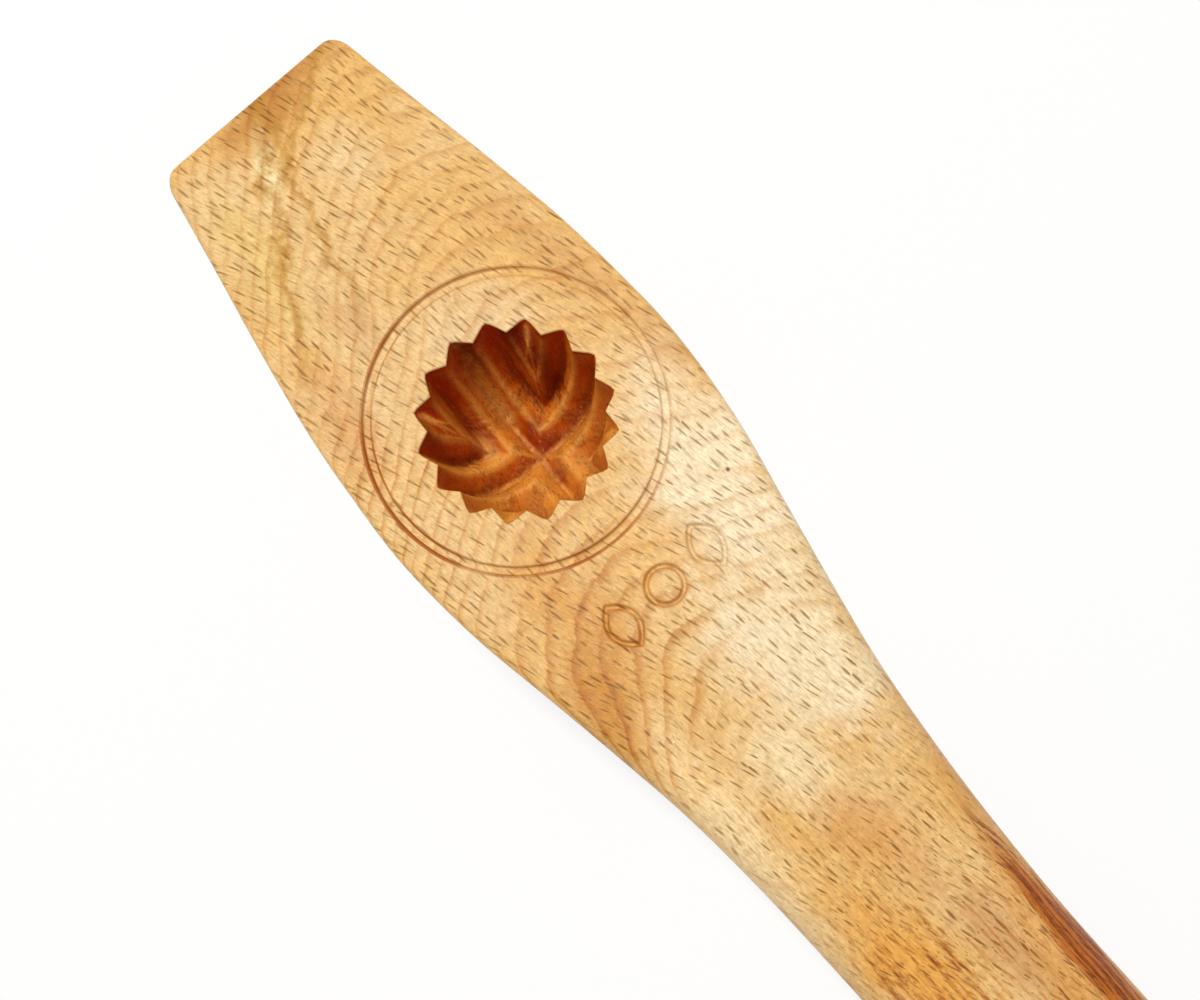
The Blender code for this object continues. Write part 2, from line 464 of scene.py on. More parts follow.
@dataclass(frozen=True)
class EngravedRing:
    """The shallow flat-floored groove turned about the cavity."""

    radius: float = 23.3 * MM
    width: float = 1.5 * MM
    depth: float = 0.38 * MM
    profile_shares: tuple = (-1, -0.93, -0.8, -0.6, -0.3, 0, 0.3, 0.6, 0.8, 0.93, 1)

    def rows(self) -> list[tuple[float, float]]:
        """Radius and depth of each row of points across the groove."""
        half = self.width / 2
        return [(self.radius + half * s, self.depth * (1 - s**4)) for s in self.profile_shares]


@dataclass(frozen=True)
class Ornament:
    """A plain row engraved across the paddle: a ring between two pointed leaves."""

    from_cavity: float = 34.3 * MM
    off_axis: float = -1.2 * MM
    half_height: float = 3.9 * MM
    pitch: float = 9.0 * MM
    leaf_half_width: float = 2.5 * MM
    ring_radius: float = 3.0 * MM
    stroke: float = 1.0 * MM
    depth: float = 0.42 * MM
    slant: float = math.radians(4)
    steps: int = 48
    margin: float = 1.2 * MM
    cuts: int = 3

    @property
    def half_size(self) -> tuple[float, float]:
        """Half the length and half the width of the place that the row takes up."""
        return self.half_height + self.margin, self.pitch + self.leaf_half_width + self.margin

    def strokes(self) -> list[Array]:
        """The strokes' closed centre lines, as rows of along and across about the row's middle."""
        turn = np.linspace(0, 2 * math.pi, self.steps + 1)
        ring = self.ring_radius * np.column_stack((np.cos(turn), np.sin(turn)))
        share = np.linspace(-1, 1, self.steps // 2)
        edge = np.column_stack((self.half_height * share, self.leaf_half_width * (1 - share**2)))
        leaf = np.vstack((edge, (edge * (1, -1))[::-1]))
        shift = np.array((0.0, self.pitch))
        cos, sin = math.cos(self.slant), math.sin(self.slant)
        spin = np.array(((cos, sin), (-sin, cos)))
        return [stroke @ spin for stroke in (leaf - shift, ring, leaf + shift)]

    def far(self, plan: Array) -> Array:
        """The distance of points from the nearest stroke.

        Args:
            plan: rows of along and across about the row's middle.

        Returns:
            One distance for each point.
        """
        nearest = np.full(len(plan), np.inf)
        for stroke in self.strokes():
            for start, end in zip(stroke[:-1], stroke[1:]):
                run = end - start
                share = np.clip((plan - start) @ run / max(run @ run, WELD**2), 0.0, 1.0)
                gap = plan - start - share[:, None] * run
                nearest = np.minimum(nearest, np.hypot(*gap.T))
        return nearest


def new_object(data: bpy.types.ID) -> Thing:
    """Makes an object of a mesh, a camera or a lamp, with its name, and links it to the scene."""
    thing = bpy.data.objects.new(data.name, data)
    bpy.context.scene.collection.objects.link(thing)
    return thing


def new_mesh(name: str, points: Array, faces: Sequence) -> Thing:
    """Makes a mesh object from rows of x, y and z and the corners of each face."""
    mesh = bpy.data.meshes.new(name)
    mesh.from_pydata(points.tolist(), [], faces)
    return new_object(mesh)


def points_of(mesh: bpy.types.Mesh) -> Array:
    """Reads a mesh's points, as rows of x, y and z."""
    points = np.empty(len(mesh.vertices) * 3)
    mesh.vertices.foreach_get("co", points)
    return points.reshape(-1, 3)


def mark(mesh: bpy.types.Mesh, name: str, values: Array) -> None:
    """Keeps one value a point in a mesh, as an attribute that its material reads."""
    mesh.attributes.new(name, "FLOAT", "POINT").data.foreach_set("value", values)


@dataclass
class GridMesh:
    """Grids of points, each with its region, that become one closed mesh."""

    points: list[Array] = field(default_factory=list)
    faces: list[Array] = field(default_factory=list)
    regions: list[Array] = field(default_factory=list)
    count: int = 0

    def add(self, grid: Array, region: Region) -> None:
        """Adds a grid.

        Args:
            grid: points in rows and columns, whose faces point out where the columns run to the left
                of the rows.
            region: the region of all its faces.
        """
        rows, columns = grid.shape[:2]
        index = self.count + np.arange(rows * columns).reshape(rows, columns)
        quads = np.stack((index[:-1, :-1], index[:-1, 1:], index[1:, 1:], index[1:, :-1]), axis=-1)
        self.points.append(grid.reshape(-1, 3))
        self.faces.append(quads.reshape(-1, 4))
        self.regions.append(np.full(quads.size // 4, region.value))
        self.count += rows * columns

    def build(self, name: str) -> Thing:
        """Welds the grids into one object, with each face in its region's material slot."""
        thing = new_mesh(name, np.concatenate(self.points), np.concatenate(self.faces).tolist())
        mesh = thing.data
        mesh.polygons.foreach_set("material_index", np.concatenate(self.regions))
        shape = bmesh.new()
        shape.from_mesh(mesh)
        bmesh.ops.remove_doubles(shape, verts=shape.verts, dist=WELD)
        bmesh.ops.recalc_face_normals(shape, faces=shape.faces)
        shape.to_mesh(mesh)
        shape.free()
        return thing


@dataclass
class MoldPaddle:
    """The whole mold, as one carved board."""

    blank: Blank
    cavity: Cavity
    ring: EngravedRing
    ornament: Ornament
    widest_to_cavity: float = 4.0 * MM
    patch_reach: float = 25.5 * MM
    station_step: float = 1.4 * MM
    fine_step: float = 0.4 * MM
    land_rows: int = 12
    margin_rows: int = 6
    corner_steps: int = 6
    side_steps: int = 8
    back_steps: int = 32
    tip_steps: int = 9
    end_steps: int = 14
    cap_rows: int = 5
    crest_smoothing: int = 4
    crest_wear: float = 0.12 * MM
    band_smoothing: int = 6
    band_gain: float = 1.8
    burr_height: float = 0.22 * MM
    burr_reach: float = 10.5 * MM
    burr_crease: float = -3.4
    carving_waver: float = 0.20 * MM
    waver_length: float = 5.0
    waver_seed: int = 7
    tear_depth: float = 0.42 * MM
    tear_length: float = 3.2
    # The direction in plan towards the key light, and how often the walls' facing of it is smoothed: the
    # finish paints light on cavity walls that face it and shade on walls that face away
    key_side: tuple[float, float] = (0.80, -0.60)
    facing_smoothing: int = 3
    valley_smoothing: int = 16
    valley_gain: float = 6.0
    sanding_waver: float = 0.05 * MM
    sanding_length: float = 11.0
    stroke_edge: float = 0.3 * MM
    sharp_angle: float = math.radians(50)

    @property
    def cavity_x(self) -> float:
        """The cavity's middle, along the paddle."""
        return self.blank.high.x - self.blank.tip_to_widest + self.widest_to_cavity

    def column_shares(self) -> Array:
        """The columns across the flat of the face, from -1 to 1, which follow the cavity's rim."""
        rim = self.cavity.rim()[:-1]
        angles = np.arctan2(rim[:, 1], rim[:, 0])
        quarter = np.sort(angles[np.abs(angles) < math.pi / 4 + 1e-6])
        if len(quarter) == self.cavity.teeth * self.cavity.half_tooth_steps // 2:
            quarter = np.append(quarter, math.pi / 4)
        shares = np.tan(quarter)
        shares[[0, -1]] = (-1.0, 1.0)
        return (shares - shares[::-1]) / 2

    def stations(self) -> tuple[Array, int, int]:
        """Distances from the tip at which the board has a row of points.

        Returns:
            The distances, and the places in them where the cavity's patch starts and ends.
        """
        blank = self.blank
        centre = blank.high.x - self.cavity_x
        tip = blank.tip_corner_round * (1 - np.cos(np.linspace(0, math.pi / 2, self.tip_steps)))
        first, last = centre - self.patch_reach, centre + self.patch_reach
        patch = centre + self.patch_reach * self.column_shares()
        body_end = blank.length - blank.end_round_length
        before = np.linspace(tip[-1], first, math.ceil((first - tip[-1]) / self.station_step) + 1)[1:-1]
        row_start = centre + self.ornament.from_cavity - self.ornament.half_size[0]
        row_end = row_start + 2 * self.ornament.half_size[0]
        after = [last]
        coarse, fine = self.station_step, self.fine_step
        for stop, step in ((row_start, coarse), (row_end, fine), (body_end, coarse)):
            after += np.linspace(after[-1], stop, math.ceil((stop - after[-1]) / step) + 1)[1:].tolist()
        after = np.array(after[1:])
        end = body_end + blank.end_round_length * np.sin(np.linspace(0, math.pi / 2, self.end_steps))[1:]
        distances = np.concatenate((tip, before, patch, after, end))
        start = len(tip) + len(before)
        return distances, start, start + len(patch) - 1

    def shell(self, distances: Array) -> Array:
        """The board without the flat of its face: points along it and round it.

        Args:
            distances: the stations' distances from the tip.

        Returns:
            Rows of stations, and columns from the face's +Y edge round the back to its -Y edge.
        """
        half, low, high, corner = self.blank.section(distances)
        x = self.blank.high.x - distances
        arc = np.linspace(0, math.pi / 2, self.corner_steps + 1)
        side = np.linspace(0, 1, self.side_steps + 1)[1:-1]
        back = np.linspace(-1, 1, self.back_steps + 1)[1:-1]
        flat, top, floor, rise = half - corner, high - corner, low + corner, low - high + 2 * corner
        arc = [(corner * math.sin(a), corner * math.cos(a)) for a in arc]
        columns = [(flat + sin, top + cos) for sin, cos in arc]
        columns += [(half, top + rise * s) for s in side]
        columns += [(flat + cos, floor - sin) for sin, cos in arc]
        columns += [(-flat * s, low) for s in back]
        columns += [(-flat - sin, floor - cos) for sin, cos in arc]
        columns += [(-half, floor - rise * s) for s in side]
        columns += [(-flat - cos, top + sin) for sin, cos in arc]
        return np.stack([np.column_stack((x, y, z)) for y, z in columns], axis=1)

    def face_strip(self, distances: Array) -> Array:
        """The flat of the face along some stations, in columns from its -Y edge to its +Y edge."""
        half, _, high, corner = self.blank.section(distances)
        x = self.blank.high.x - distances
        y = (half - corner)[:, None] * self.column_shares()
        x, z = (np.broadcast_to(values[:, None], y.shape) for values in (x, high))
        return np.stack((x, y, z), axis=-1)

    def patch_edge(self, distances: Array) -> Array:
        """The edge of the cavity's patch, once round from the tip side's middle, as the rim runs."""
        half, _, _, corner = self.blank.section(distances)
        shares = self.column_shares()
        sides = np.column_stack((self.blank.high.x - distances, half - corner))
        tip = np.column_stack((np.full(len(shares), sides[0, 0]), shares * sides[0, 1]))
        grip = np.column_stack((np.full(len(shares), sides[-1, 0]), -shares * sides[-1, 1]))
        other = (sides * (1, -1))[::-1]
        loop = np.vstack((tip[:-1], sides[:-1], grip[:-1], other[:-1]))
        loop = np.roll(loop, -(len(shares) - 1) // 2, axis=0)
        return np.vstack((loop, loop[:1]))

    def patch_rings(self, distances: Array) -> Array:
        """The face about the cavity, from the rim's rounded edge over the engraved ring to the patch's edge.

        Args:
            distances: the stations that the patch spans.

        Returns:
            Rows of points from the rim outwards, each once round.
        """
        middle = np.array((self.cavity_x, 0.0))
        rim = self.cavity.rim()
        out = rim / np.hypot(*rim.T)[:, None]
        angle = np.arctan2(rim[:, 1], rim[:, 0])
        around = np.column_stack((np.cos(angle), np.sin(angle)))
        rounding = self.cavity.rim_round
        rows = []
        for share in (0, 0.15, 0.4, 0.7, 1):
            drop = rounding * (1 - math.sqrt(1 - (1 - share) ** 2))
            rows.append((rim + out * rounding * share, drop))
        groove = self.ring.rows()
        inner = rim + out * rounding
        outer = around * groove[0][0]
        for share in np.linspace(0, 1, self.land_rows + 1)[1:-1]:
            rows.append((inner + (outer - inner) * share, 0.0))
        rows += [(around * radius, depth) for radius, depth in groove]
        inner, outer = around * groove[-1][0], self.patch_edge(distances) - middle
        for share in np.linspace(0, 1, self.margin_rows + 1)[1:]:
            rows.append((inner + (outer - inner) * share, 0.0))
        face = self.blank.face
        grid = [np.column_stack((plan + middle, np.full(len(plan), face - drop))) for plan, drop in rows]
        return np.stack(grid)

    def bowl(self) -> list[Array]:
        """The bowl's grids: one between each pair of neighbouring creases, in each eighth."""
        cavity = self.cavity
        lines = cavity.creases()
        shares = np.linspace(0, 1, cavity.half_tooth_steps + 1)
        grids = []
        for i in range(len(lines) - 1):
            from_tooth = shares if i % 2 == 0 else 1 - shares
            band = lines[i][:, None] + (lines[i + 1] - lines[i])[:, None] * shares[None, :, None]
            radius = np.hypot(band[..., 0], band[..., 1])
            near_rim = smooth_step((radius / radius[-1] - 0.8) / 0.2)
            draw = cavity.blunting(from_tooth)[None, :] * near_rim / np.maximum(radius, WELD)
            band[..., :2] *= (1 - draw)[..., None]
            band[..., 2] = cavity.rim_round + band[..., 2] * (1 - cavity.rim_round / cavity.depth)
            for turn in range(4):
                for first, second in ((0, 1), (1, 0)):
                    along, across, drop = band[..., first], band[..., second], band[..., 2]
                    for _ in range(turn):
                        along, across = -across, along
                    grids.append(np.stack((self.cavity_x + along, across, self.blank.face - drop), axis=-1))
        return grids

    def tip_cap(self, loop: Array) -> Array:
        """The flat end of the tip, as loops that close on the end's middle line."""
        middle = loop.mean(axis=0)
        line = np.column_stack((loop[:, 0], loop[:, 1] * 0.5, np.full(len(loop), middle[2])))
        shares = np.linspace(0, 1, self.cap_rows + 1)[:, None, None]
        return loop + (line - loop) * shares

    def mesh(self) -> Thing:
        """Builds the board's closed mesh, carved but not yet engraved."""
        distances, start, end = self.stations()
        grids = GridMesh()
        shell = self.shell(distances)
        grids.add(shell, Region.SANDED)
        grids.add(self.face_strip(distances[: start + 1]), Region.SANDED)
        grids.add(self.face_strip(distances[end:]), Region.SANDED)
        grids.add(self.patch_rings(distances[start : end + 1]), Region.SANDED)
        for grid in self.bowl():
            grids.add(grid, Region.CARVED)
        strip = self.face_strip(distances[:1])[0]
        loop = np.vstack((strip[:-1], shell[0]))
        grids.add(self.tip_cap(loop), Region.SANDED)
        return grids.build(NODE + "_wood")

    def carve(self, thing: Thing) -> None:
        """Rounds the crests, then adds the tool's waver, torn fibres and the sander's slight hollows.

        Args:
            thing: the board, whose points move. It gets the attributes that the cavity's finish reads and
            that place its painted light and shade: how far each wall faces the key light, the tip-side
            wall under the rim, crease, valley, torn and sunk.
        """
        mesh = thing.data
        points = points_of(mesh)
        count = len(points)
        plan = points[:, :2] - (self.cavity_x, 0.0)
        radius = np.hypot(*plan.T)
        depth = self.blank.face - points[:, 2]
        cavity, rim = self.cavity, self.cavity.rim_round
        inside = (radius < cavity.tooth_radius) & (depth > rim * 0.9) & (depth < cavity.depth * 1.05)
        edges = np.empty(len(mesh.edges) * 2, dtype=np.int64)
        mesh.edges.foreach_get("vertices", edges)
        a, b = edges.reshape(-1, 2).T
        degree = np.bincount(np.concatenate((a, b)), minlength=count)

        def around(values: Array) -> Array:
            """The mean of each point's neighbours."""
            total = np.zeros_like(values)
            np.add.at(total, a, values[b])
            np.add.at(total, b, values[a])
            return total / (degree[:, None] if values.ndim > 1 else degree)

        def spread(values: Array, times: int) -> Array:
            """Spreads values over the cavity's points."""
            for _ in range(times):
                values = (values + around(values)) / 2 * inside
            return values

        free = smooth_step((depth - rim) / (4 * rim))[:, None] * inside[:, None]
        sharp = points.copy()
        for _ in range(self.crest_smoothing):
            points += (around(points) - points) * free * 0.5
        crease = np.clip((points[:, 2] - sharp[:, 2]) / self.crest_wear, -1.0, 1.0) * inside
        on_axis = np.minimum(np.abs(plan[:, 0]), np.abs(plan[:, 1])) < WELD
        burr = on_axis & inside & (radius < self.burr_reach)
        torn = np.zeros(count)
        # Without a seed of its own, the vector noise would differ from run to run
        noise.seed_set(self.waver_seed)
        for i in np.flatnonzero(inside):
            place = Vector(points[i] / MM)
            if burr[i]:
                chipped = 0.65 + 0.7 * noise.noise(place * 1.7)
                points[i, 2] += self.burr_height * chipped * smooth_step(2 - 2 * radius[i] / self.burr_reach)
            waver = noise.noise_vector(place / self.waver_length)
            near_floor = smooth_step((depth[i] / cavity.depth - 0.35) / 0.4)
            patchy = smooth_step((noise.noise(place / self.tear_length + Vector((7, 3, 1))) + 0.25) / 0.5)
            fibre = noise.fractal(Vector((place.x * 0.8, place.y * 1.6, place.z)), 0.6, 2.2, 3)
            torn[i] = near_floor * patchy
            points[i] += np.array(waver) * self.carving_waver * float(free[i, 0])
            points[i, 2] += self.tear_depth * fibre * float(torn[i])
        self.sand(points, ~inside)
        mesh.vertices.foreach_set("co", points.reshape(-1))
        normals = np.array([vertex.normal for vertex in mesh.vertices])
        # Painted light and shade: how far each cavity wall faces the key light, above 0 lit and below 0 in
        # shade
        painted_light = spread((normals[:, :2] @ np.array(self.key_side)) * inside, self.facing_smoothing)
        # Painted shade in the grooves' creases where this is above 0, painted light on the crests where it
        # is below 0
        valley = np.clip(spread(crease, self.valley_smoothing) * self.valley_gain, -1.0, 1.0)
        valley[valley > 0] *= 1 - 0.5 * smooth_step((depth[valley > 0] / cavity.depth - 0.6) / 0.35)
        # The burr lines get a strongly negative crease, so the finish paints a highlight along them as along
        # the crests
        crease = spread(np.where(burr, self.burr_crease, crease), self.band_smoothing) * self.band_gain
        sunk = np.clip(depth / cavity.depth, 0.0, 1.0)
        # Painted shade: the tip-side wall near the rim, which faces away from the key light and lies in the
        # rim's shadow
        tip_wall_shade = np.clip(-normals[:, 0] + 0.2, 0.0, 1.0) * inside * (1 - smooth_step(sunk / 0.8))
        marks = {"painted_light": painted_light, "tip_wall_shade": tip_wall_shade, "crease": crease, "valley": valley}
        for name, values in (marks | {"torn": torn, "sunk": sunk}).items():
            mark(mesh, name, values)

    def sand(self, points: Array, outside: Array) -> None:
        """Moves the points outside the cavity in by the sander's slight hollows."""
        reach = self.blank.high.x - self.blank.end_round_length / 2
        for point in (points[i] for i in np.flatnonzero(outside)):
            hollow = 0.5 + 0.5 * noise.noise(Vector(point / MM) / self.sanding_length)
            inward = np.array((point[0], 0.0, self.blank.grip_thickness / 2)) - point
            length = np.linalg.norm(inward)
            if length > MM and abs(point[0]) < reach:
                point += inward / length * self.sanding_waver * hollow

    def engrave(self, thing: Thing) -> None:
        """Presses the ornament's strokes into the face, after a finer division of the faces there.

        Args:
            thing: the board. It gets the attribute engraved, which is 1 along the strokes' edges.
        """
        ornament = self.ornament
        middle = np.array((self.cavity_x - ornament.from_cavity, ornament.off_axis))
        reach = ornament.half_size
        shape = bmesh.new()
        shape.from_mesh(thing.data)
        edges = set()
        for face in shape.faces:
            centre = face.calc_center_median()
            near = all(abs(centre[k] - middle[k]) < reach[k] for k in (0, 1))
            if near and centre.z > self.blank.grip_thickness:
                edges.update(face.edges)
        bmesh.ops.subdivide_edges(shape, edges=list(edges), cuts=ornament.cuts, use_grid_fill=True)
        shape.to_mesh(thing.data)
        shape.free()
        mesh = thing.data
        points = points_of(mesh)
        plan = points[:, :2] - middle
        near = np.all(np.abs(plan) < reach, axis=1) & (points[:, 2] > self.blank.grip_thickness)
        far = np.full(len(points), np.inf)
        far[near] = ornament.far(plan[near])
        half = ornament.stroke / 2
        share = np.clip(far / half, 0.0, 1.0)
        points[:, 2] -= ornament.depth * (1 - share**2) ** 1.3
        # This mark carries the scorch tone and the painted shade that the sanded finish lays along the
        # strokes' edges
        edge = np.exp(-(((far - 0.8 * half) / self.stroke_edge) ** 2))
        mesh.vertices.foreach_set("co", points.reshape(-1))
        mark(mesh, "engraved", edge)

    def build(self) -> Thing:
        """Builds, carves, engraves and dresses the board.

        Returns:
            The finished piece, which stands for the CAD solid.
        """
        thing = self.mesh()
        self.carve(thing)
        for finish in (SandedBeech(self), CarvedBeech(self)):
            thing.data.materials.append(finish.material())
        self.engrave(thing)
        thing.data.shade_smooth()
        thing.data.set_sharp_from_angle(angle=self.sharp_angle)
        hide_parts(NODE)
        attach(thing, BODY)
        LOG.info("%s: %d faces", thing.name, len(thing.data.polygons))
        return thing


@dataclass(frozen=True)
class Flecks:
    """The ends of beech's rays: short dark spindles, each in its own cell. Lengths are in millimetres."""

    cell: tuple[float, float]
    half_lengths: tuple[float, float]
    half_widths: tuple[float, float]
    missing_share: float
    seed: float
    scatter: float = 0.15

    def shade(self, nodes: Nodes, along: Feed, across: Feed) -> Feed:
        """Adds the flecks' pattern.

        Args:
            nodes: the material's nodes.
            along: millimetres along the rays' lie.
            across: millimetres across it.

        Returns:
            1 in the middle of a dark fleck and 0 between flecks.
        """
        add = nodes.add
        u = nodes.total(self.seed, (along, 1 / self.cell[0]))
        v = add("Math", across, self.cell[1], operation="DIVIDE")
        place = add("CombineXYZ", u, v)
        cells = add("TexVoronoi", Vector=place, Scale=1.0, Randomness=0.75, voronoi_dimensions="2D")
        first, second, third = add("SeparateColor", cells.outputs["Color"]).outputs
        gap = add("VectorMath", place, cells.outputs["Position"], operation="SUBTRACT")
        gap = add("VectorMath", gap, (*self.cell, 0.0), operation="MULTIPLY")
        run, rise, _ = add("SeparateXYZ", gap).outputs
        twist = add("MapRange", second, None, None, -self.scatter, self.scatter)
        rise = add("Math", run, twist, rise, operation="MULTIPLY_ADD")
        length = add("MapRange", first, None, None, *self.half_lengths)
        width = add("MapRange", second, None, None, *self.half_widths)
        reach = add("CombineXYZ", length, width, 1.0)
        far = add("VectorMath", add("CombineXYZ", run, rise), reach, operation="DIVIDE")
        far = add("VectorMath", far, operation="LENGTH")
        shown = add("MapRange", third, self.missing_share, 1.0)
        shown = add("Math", shown, 0.4, operation="POWER")
        return nodes.product(add("MapRange", far, 1.0, 0.5), shown)


@dataclass
class BeechGrain:
    """The figure of flat-sawn beech: growth rings, ray flecks, veins, mineral lines and patches, some
    painted highlight.

    The fibres slant across the blade and straighten towards the grip, and the rings show as arches that
    point to the tip. Lengths are in millimetres. A mineral line has its slope, its height at x = 0, its
    half width, its strength, and the x where it starts and where it is full. A clearing is a spot where
    the rings fade: x, y, half length, half width, turn, and the share of them that is kept.
    """

    paddle: MoldPaddle
    nodes: Nodes
    pale: str = "#F6DFAE"
    honey: str = "#EAB96C"
    pore: str = "#B97F3C"
    tan: str = "#DFB888"
    vein: str = "#A04E04"
    late_wood: str = "#DAB26A"
    mineral: str = "#BE861A"
    fleck: str = "#967A22"
    heart_pale: str = "#DC9A4A"
    core: str = "#B85C06"
    heart_dark: str = "#7C2A00"
    core_y: float = -14.7
    veins_y: tuple[float, ...] = (12.5, 10.4, 7.4, 4.6, 2.0)
    mineral_lines: Rows = (
        (-0.55, 69.3, 1.9, 0.85, 78.0, 96.0),
        (-0.25, 31.3, 1.7, 0.80, 82.0, 98.0),
        (-1.4, 161.1, 2.0, 0.80, 109.0, 113.0),
    )
    fibre_lean: tuple[float, float] = (0.142, 0.00112)
    ray_lean: tuple[float, float] = (0.232, 0.0003)
    pith_far: float = 90.0
    neck_ring: float = 4.8
    head_ring: float = 3.9
    head_start: float = 66.0
    arch_round: float = 10.7
    arch_slope: float = 0.87
    arch_tilt: float = 0.32
    ring_dip: float = 2.2
    wobble: float = 9.0
    jag: float = 1.7
    # The arches' middle line: its height and slope, and the place, length and height of its bulge
    middle_line: tuple[float, float] = (-1.3, -0.05)
    bulge: tuple[float, float, float] = (38.0, 24.0, 12.0)
    clearings: Rows = (
        (-7.0, -8.0, 23.0, 13.0, 18.0, 0.2),
        (-13.0, 14.0, 20.0, 9.5, -8.0, 0.2),
        (45.0, 20.0, 17.0, 8.5, 0.0, 0.55),
    )
    large_flecks: Flecks = Flecks((3.4, 1.4), (0.90, 1.95), (0.17, 0.28), 0.04, 0.0)
    small_flecks: Flecks = Flecks((1.6, 0.8), (0.25, 0.7), (0.07, 0.13), 0.45, 31.7)
    tone_and_light_patches: tuple[ColourPatch, ...] = (
        # Painted highlight: these three cream patches stand for the key light's broad sheen on the face
        ColourPatch(31, -18, 27, 12, -6, "#FBE9C2", 0.92),
        ColourPatch(3, -10, 19, 10, 22, "#FAE7BE", 0.90),
        ColourPatch(-8, 1, 11, 8, 20, "#FAE3B2", 0.80),
        ColourPatch(74.6, -5, 9, 9, 0, "#EDCFA0", 0.55),
        ColourPatch(25, 14, 14, 8, -35, "#D89742", 0.80),
        ColourPatch(41, 12, 9, 6.5, -35, "#E0A248", 0.65),
        ColourPatch(16, 18.5, 12, 4.5, -12, "#CE8A2C", 0.90),
        ColourPatch(48, 21, 14, 5, -10, "#EBC58A", 0.50),
        # Painted light on the neck's rounded +Y edge, where it catches the key light
        ColourPatch(-14, 16, 23, 6, -3, "#FDE0AA", 0.90),
        ColourPatch(76, 20, 11, 5, -15, "#D99347", 0.65),
        ColourPatch(89, 10, 7, 4, 30, "#D6A268", 0.55),
        ColourPatch(121.5, -1, 4.5, 8.5, 5, "#C6832F", 0.85),
        ColourPatch(124.5, -9, 2.5, 9, 0, "#BE7A2E", 0.65),
        ColourPatch(114.3, 4.8, 7, 2.2, -30, "#FAE6AC", 0.85),
        ColourPatch(109.5, -5.8, 7, 5, 0, "#F5D8A4", 0.65),
        ColourPatch(107, 13, 10, 4, 8, "#EAC678", 0.80),
        ColourPatch(98, 16, 12, 3, 16, "#E6C176", 0.60),
        ColourPatch(71, 11, 8, 4, -20, "#E4B46C", 0.45),
        ColourPatch(76, -21, 15, 4, 14, "#DDA65C", 0.75),
        ColourPatch(55, -26.5, 12, 3.5, 4, "#DDAA66", 0.70),
        ColourPatch(-24, -1, 10, 6, 10, "#DC9A50", 0.65),
        ColourPatch(-47, 7.5, 18, 7, 6, "#F0AA42", 0.75),
        ColourPatch(-52, -6, 17, 4.5, 6, "#CF9860", 0.70),
        ColourPatch(33.3, -20.2, 0.45, 0.4, 0, "#4A2408", 0.95),
    )
    place: Feed = field(init=False)
    x: Feed = field(init=False)
    y: Feed = field(init=False)
    z: Feed = field(init=False)
    under: Feed = field(init=False)
    across: Feed = field(init=False)
    lie: Feed = field(init=False)

    def __post_init__(self) -> None:
        """Adds the coordinates that the patterns share."""
        nodes = self.nodes
        self.place = nodes.place()
        self.x, self.y, self.z = nodes.add("SeparateXYZ", self.place).outputs
        self.under = nodes.total(self.paddle.blank.face / MM, (self.z, -1.0))
        self.across = self.across_grain(*self.fibre_lean)
        self.lie = nodes.add("CombineXYZ", self.x, self.across, self.under)

    def across_grain(self, lean: float, change: float) -> Feed:
        """Adds the millimetres across the fibres or rays.

        Args:
            lean: their slope across the board at the frame's origin.
            change: half the slope's change a millimetre along the board.

        Returns:
            The sum, narrowed under the face where the cut comes nearer to the pith.
        """
        nodes = self.nodes
        shift = nodes.product(nodes.total(lean, (self.x, change)), self.x)
        sway = nodes.pattern(self.place, 0.035, 1.0)
        across = nodes.total(self.y, (shift, -1.0), (sway, 5.0))
        narrowing = nodes.total(1.0, (self.under, 1 / self.pith_far))
        return nodes.add("Math", across, narrowing, operation="DIVIDE")

    def rings(self) -> Feed:
        """Adds the growth rings, as 1 on the late wood's line and 0 on early wood."""
        nodes, x = self.nodes, self.x
        add = nodes.add
        (rest, slope), (bulge_x, bulge_length, bulge_height) = self.middle_line, self.bulge
        swell = add("Math", nodes.total(-bulge_x, (x, 1.0)), bulge_length, operation="DIVIDE")
        swell = add("Math", math.exp(-1), nodes.product(swell, swell), operation="POWER")
        middle = nodes.total(rest, (x, slope), (swell, bulge_height))
        side = nodes.total(self.y, (middle, -1.0))
        reach = add("VectorMath", add("CombineXYZ", side, self.arch_round), operation="LENGTH")
        wobble = nodes.pattern(self.place, 0.06, 2.0)
        jag = nodes.pattern(self.lie, 1.0, 3.0, 0.6, stretch=(0.16, 1.3, 0.6))
        phase = nodes.total(x, (reach, self.arch_slope), (side, self.arch_tilt), (self.under, self.ring_dip))
        phase = nodes.total(phase, (wobble, self.wobble), (jag, self.jag))
        closer = nodes.total(-self.head_start - self.arch_slope * self.arch_round, (phase, 1.0))
        closer = add("Math", closer, 0.0, operation="MAXIMUM")
        turns = add("Math", phase, self.neck_ring, operation="DIVIDE")
        turns = nodes.total(turns, (closer, 1 / self.head_ring - 1 / self.neck_ring))
        part = add("Math", turns, operation="FRACT")
        darken = add("MapRange", part, 0.45, 0.92, **SMOOTH)
        drop = add("MapRange", part, 0.90, 1.0, 1.0, 0.0, **SMOOTH)
        line = add("Math", nodes.product(darken, drop), 1.3, operation="POWER")
        year = add("TexWhiteNoise", W=add("Math", turns, operation="FLOOR"), noise_dimensions="1D")
        good_year = add("MapRange", year, None, None, 0.55, 1.0)
        in_neck = add("MapRange", x, 72.0, 44.0, 1.0, 0.80, **SMOOTH)
        off_grip = add("MapRange", x, 12.0, -28.0, 1.0, 0.25, **SMOOTH)
        fading = nodes.pattern(self.place, 0.11, 3.0, 0.6, spread=(0.33, 0.6, 0.55, 1.2))
        left = add("MapRange", self.y, -8.0, 9.0, 0.55, 1.4, **SMOOTH)
        left = add("Mix", add("MapRange", x, 60.0, 80.0, **SMOOTH), None, left, 0.62)
